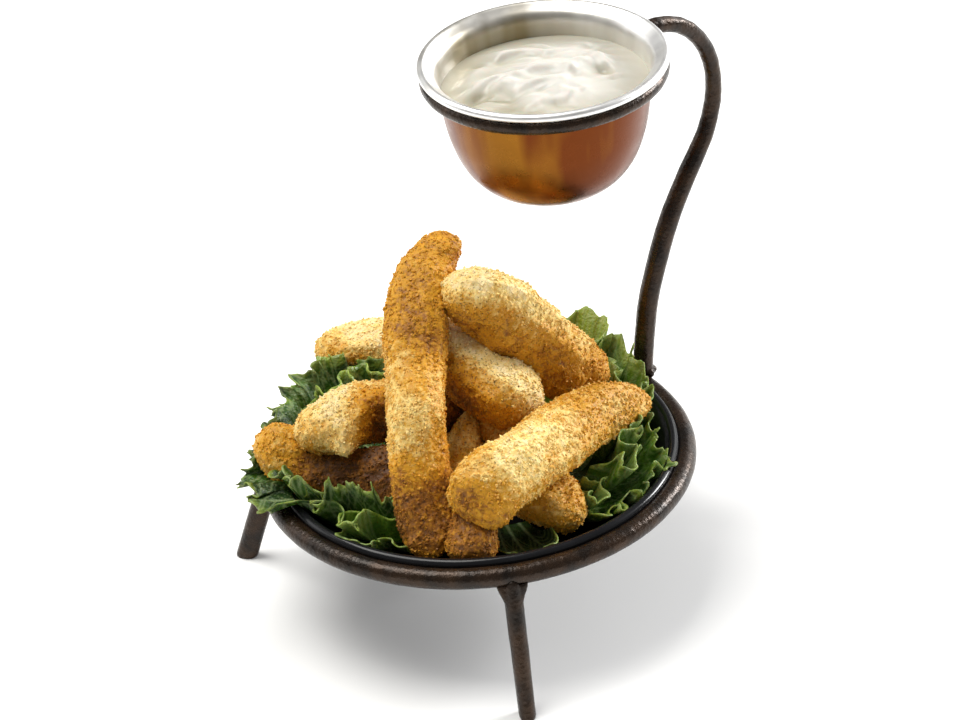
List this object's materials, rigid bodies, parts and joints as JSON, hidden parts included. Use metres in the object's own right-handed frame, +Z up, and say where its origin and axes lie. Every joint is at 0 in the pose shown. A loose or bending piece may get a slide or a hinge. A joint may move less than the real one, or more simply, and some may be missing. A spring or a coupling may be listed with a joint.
{
  "type": "fried pickles",
  "caption": "Breaded pickle spears piled on lettuce in a black plate, carried by an iron stand whose curved arm holds a copper cup of creamy dip above them.",
  "frame": {"origin": "middle of the bounding box, at the floor that the feet stand on", "axes": "+Z up, the viewer looks along +Y, +X to the viewer's right; the arm and the cup stand towards +X +Y"},
  "size_m": [0.2048, 0.1842, 0.2104],
  "materials": {
    "wrought_iron": "hammered dark bronze",
    "black_enamel": "glossy black enamel",
    "copper_cup": "polished copper outside, polished steel inside",
    "creamy_dip": "thick, soft and slightly glossy",
    "fried_crumb": "rough golden crumb with dark specks",
    "lettuce": "waxy leaf with pale ribs and edges"
  },
  "bodies": {
    "root": {"plate_ring": "wrought_iron", "leg_front": "wrought_iron", "leg_left": "wrought_iron", "leg_back": "wrought_iron", "arm": "wrought_iron", "cup_ring": "wrought_iron", "sauce_cup": "copper_cup", "dip": "creamy_dip", "plate": "black_enamel", "spear_tall": "fried_crumb", "spear_crown": "fried_crumb", "spear_cross": "fried_crumb", "spear_middle": "fried_crumb", "spear_hooked": "fried_crumb", "spear_far": "fried_crumb", "spear_low_left": "fried_crumb", "spear_low_right": "fried_crumb", "spear_low_front": "fried_crumb", "leaf_back_left": "lettuce", "leaf_left": "lettuce", "leaf_front_left": "lettuce", "leaf_front": "lettuce", "leaf_front_right": "lettuce", "leaf_right": "lettuce", "leaf_back_right": "lettuce", "leaf_back": "lettuce", "leaf_rear": "lettuce"}
  },
  "joints": []
}
